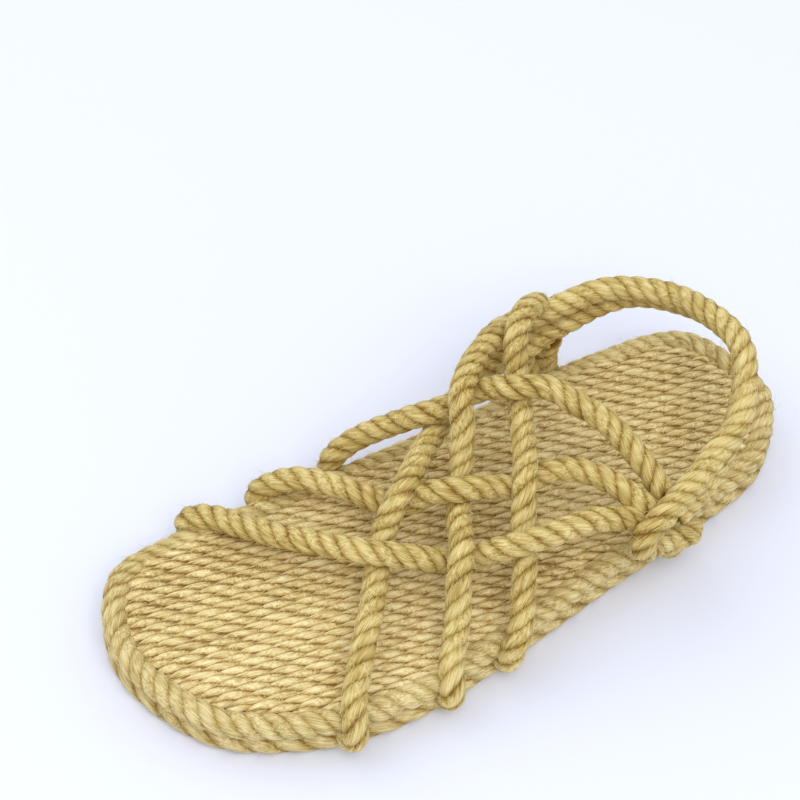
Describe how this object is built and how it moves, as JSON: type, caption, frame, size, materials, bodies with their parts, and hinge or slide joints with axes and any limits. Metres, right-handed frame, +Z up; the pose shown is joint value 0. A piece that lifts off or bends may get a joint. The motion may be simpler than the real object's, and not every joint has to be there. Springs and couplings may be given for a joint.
{
  "type": "rope sandal",
  "caption": "Open-toed left sandal of laid straw rope: a flat rope sole under a cage of crossing rope straps, with a rope strap round the heel.",
  "frame": {"origin": "centre of the sandal's box on the floor", "axes": "+Z up, -Y towards the toe, +Y towards the heel, +X towards the outer side of the left foot"},
  "size_m": [0.1168, 0.265, 0.0635],
  "materials": {
    "sole_rope": "laid straw rope, matt, a little dusty",
    "footbed_rope": "rows of laid straw rope, matt, trodden pale",
    "strap_rope": "laid straw rope with a soft golden sheen"
  },
  "bodies": {
    "root": {"outsole": "sole_rope", "rim_rope": "sole_rope", "footbed": "footbed_rope", "strap_cage": "strap_rope", "heel_strap": "strap_rope", "anchor_outer": "strap_rope", "anchor_inner": "strap_rope"}
  },
  "joints": []
}
